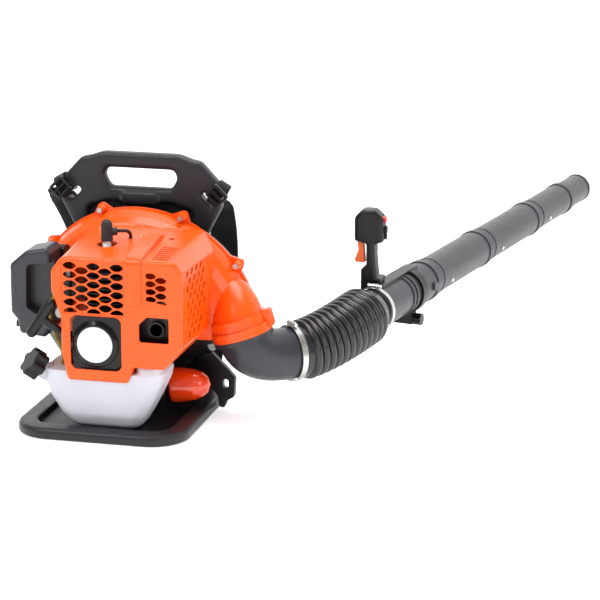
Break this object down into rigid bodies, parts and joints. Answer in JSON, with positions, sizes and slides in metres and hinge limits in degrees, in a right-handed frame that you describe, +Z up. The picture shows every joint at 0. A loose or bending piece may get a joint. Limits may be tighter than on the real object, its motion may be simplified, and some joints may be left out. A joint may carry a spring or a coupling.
{
  "type": "backpack leaf blower",
  "caption": "Backpack petrol leaf blower: engine and fan on a carrying frame, flexible hose, swivelling blow tube with control handle.",
  "frame": {"origin": "centre of the base plate's underside", "axes": "+X to the right seen from the engine side, +Y towards the wearer's back, +Z up"},
  "size_m": [0.8282, 1.581, 0.442],
  "materials": {
    "orange_shell": "glossy injection-moulded shell",
    "red_orange_cup": "very glossy",
    "orange_control": "satin gloss",
    "red_switch": "gloss",
    "charcoal_plastic": "satin, fine moulded grain",
    "graphite_plastic": "satin, blow-moulded",
    "black_plastic": "satin",
    "black_gloss": "gloss",
    "hose_rubber": "satin flexible hose",
    "stainless": "brushed band",
    "zinc_steel": "zinc plated",
    "cast_alloy": "as cast",
    "muffler_steel": "heat-tinted sheet",
    "white_ceramic": "glazed",
    "black_rubber": "matte",
    "clear_soft_plastic": "soft translucent",
    "yellow_hose": "translucent fuel hose",
    "tank_white": "milky translucent HDPE",
    "label_white": "plain disc",
    "white_pin": "satin",
    "pulley_plastic": "satin",
    "black_cord": "braided cord",
    "filter_foam": "open foam",
    "pad_fabric": "padded mesh fabric",
    "black_webbing": "woven webbing"
  },
  "bodies": {
    "root": {"air_filter_case": "black_plastic", "air_filter_cover": "graphite_plastic", "air_filter_element": "filter_foam", "back_pad": "pad_fabric", "back_plate": "charcoal_plastic", "base_plate": "charcoal_plastic", "bellows_rear": "hose_rubber", "carburetor": "cast_alloy", "clamp_elbow": "stainless", "crankcase": "cast_alloy", "cylinder": "cast_alloy", "damper_cup": "red_orange_cup", "elbow": "graphite_plastic", "engine_cover": "orange_shell", "fan_housing_front": "orange_shell", "fan_housing_rear": "black_plastic", "fuel_lines": "yellow_hose", "fuel_tank": "tank_white", "ignition_coil": "black_rubber", "intake_guard": "black_plastic", "muffler": "muffler_steel", "plug_boot": "black_rubber", "recoil_housing": "black_gloss", "recoil_label": "label_white", "screws": "zinc_steel", "shoulder_pad_left": "pad_fabric", "shoulder_pad_right": "pad_fabric", "side_bracket": "black_plastic", "spark_plug": "white_ceramic", "strap_buckles": "black_plastic", "vibration_dampers": "black_rubber", "webbing": "black_webbing"},
    "rotor": {"impeller": "black_plastic", "crankshaft": "zinc_steel", "flywheel": "cast_alloy"},
    "piston": {"piston": "cast_alloy", "connecting_rod": "cast_alloy"},
    "starter_pulley": {"starter_pulley": "pulley_plastic"},
    "starter_grip": {"starter_grip": "black_plastic", "starter_rope": "black_cord"},
    "fuel_cap": {"fuel_cap": "black_plastic"},
    "choke_lever": {"choke_lever": "black_plastic"},
    "throttle_arm": {"throttle_arm": "zinc_steel"},
    "primer_bulb": {"primer_bulb": "clear_soft_plastic"},
    "filter_knob": {"filter_knob": "black_plastic"},
    "hose": {"bellows_middle": "hose_rubber"},
    "tube": {"bellows_front": "hose_rubber", "clamp_tube": "stainless", "swivel_tube": "graphite_plastic", "blow_tube_1": "graphite_plastic", "blow_tube_2": "graphite_plastic", "blow_tube_3": "graphite_plastic", "nozzle": "graphite_plastic", "bayonet_pins": "white_pin"},
    "handle": {"handle_bracket": "black_plastic", "control_handle": "black_plastic"},
    "bracket_knob": {"bracket_knob": "black_plastic"},
    "throttle_trigger": {"throttle_trigger": "orange_control"},
    "stop_switch": {"stop_switch": "red_switch"},
    "cruise_lever": {"cruise_lever": "black_plastic"}
  },
  "joints": [
    {"name": "rotor_spin", "type": "hinge", "parent": "root", "child": "rotor", "pos_m": [0, 0, 0.165], "axis": [0, 1, 0], "continuous": true},
    {"name": "piston_stroke", "type": "slide", "parent": "root", "child": "piston", "axis": [0, 0, 1], "range_m": [-0.032, 0]},
    {"name": "starter_pull", "type": "slide", "parent": "root", "child": "starter_grip", "axis": [-0.7687, -0.2496, 0.589], "range_m": [0, 0.45], "stiffness_N_per_m": 12, "springref_m": -0.2},
    {"name": "starter_pulley_spin", "type": "hinge", "parent": "root", "child": "starter_pulley", "pos_m": [0, -0.129, 0.168], "axis": [0, -1, 0], "range_deg": [0, 900]},
    {"name": "fuel_cap_turn", "type": "hinge", "parent": "root", "child": "fuel_cap", "pos_m": [-0.11145, -0.12804, 0.12055], "axis": [-0.6217, -0.5014, 0.6017], "range_deg": [0, 450]},
    {"name": "choke_turn", "type": "hinge", "parent": "root", "child": "choke_lever", "pos_m": [-0.1715, -0.058, 0.24], "axis": [1, 0, 0], "range_deg": [-60, 0]},
    {"name": "throttle_arm_turn", "type": "hinge", "parent": "root", "child": "throttle_arm", "pos_m": [-0.077, -0.072, 0.25], "axis": [0, 1, 0], "range_deg": [0, 50]},
    {"name": "primer_press", "type": "slide", "parent": "root", "child": "primer_bulb", "axis": [0, 1, 0], "range_m": [0, 0.003], "stiffness_N_per_m": 900},
    {"name": "filter_knob_turn", "type": "hinge", "parent": "root", "child": "filter_knob", "pos_m": [-0.16, -0.06, 0.172], "axis": [-1, 0, 0], "continuous": true},
    {"name": "tube_yaw", "type": "hinge", "parent": "root", "child": "hose", "pos_m": [0.32571, 0.16731, 0.11462], "axis": [0, 0, 1], "range_deg": [-30, 35], "stiffness_Nm_per_rad": 2, "deforming": ["bellows_rear", "bellows_middle"]},
    {"name": "tube_pitch", "type": "hinge", "parent": "hose", "child": "tube", "pos_m": [0.34853, 0.20713, 0.12438], "axis": [0.9816, -0.1908, 0], "range_deg": [-25, 35], "stiffness_Nm_per_rad": 2, "deforming": ["bellows_front"]},
    {"name": "handle_swing", "type": "hinge", "parent": "tube", "child": "handle", "pos_m": [0.39708, 0.38916, 0.136], "axis": [0.1908, 0.9816, 0], "range_deg": [-30, 30]},
    {"name": "knob_turn", "type": "hinge", "parent": "handle", "child": "bracket_knob", "pos_m": [0.40872, 0.44904, 0.084], "axis": [0.9816, -0.1908, 0], "continuous": true},
    {"name": "trigger_pull", "type": "hinge", "parent": "handle", "child": "throttle_trigger", "pos_m": [0.35, 0.33, 0.262], "axis": [0, -1, 0], "range_deg": [0, 16], "stiffness_Nm_per_rad": 0.4, "springref_deg": -20.05},
    {"name": "stop_press", "type": "slide", "parent": "handle", "child": "stop_switch", "axis": [-1, 0, 0], "range_m": [0, 0.0025], "stiffness_N_per_m": 1200},
    {"name": "cruise_turn", "type": "hinge", "parent": "handle", "child": "cruise_lever", "pos_m": [0.39, 0.33, 0.279], "axis": [1, 0, 0], "range_deg": [0, 45]}
  ],
  "couplings": [
    {"joint": "starter_pulley_spin", "follows": "starter_pull", "rad_per_m": 34.483},
    {"joint": "throttle_arm_turn", "follows": "trigger_pull", "ratio": 3}
  ]
}
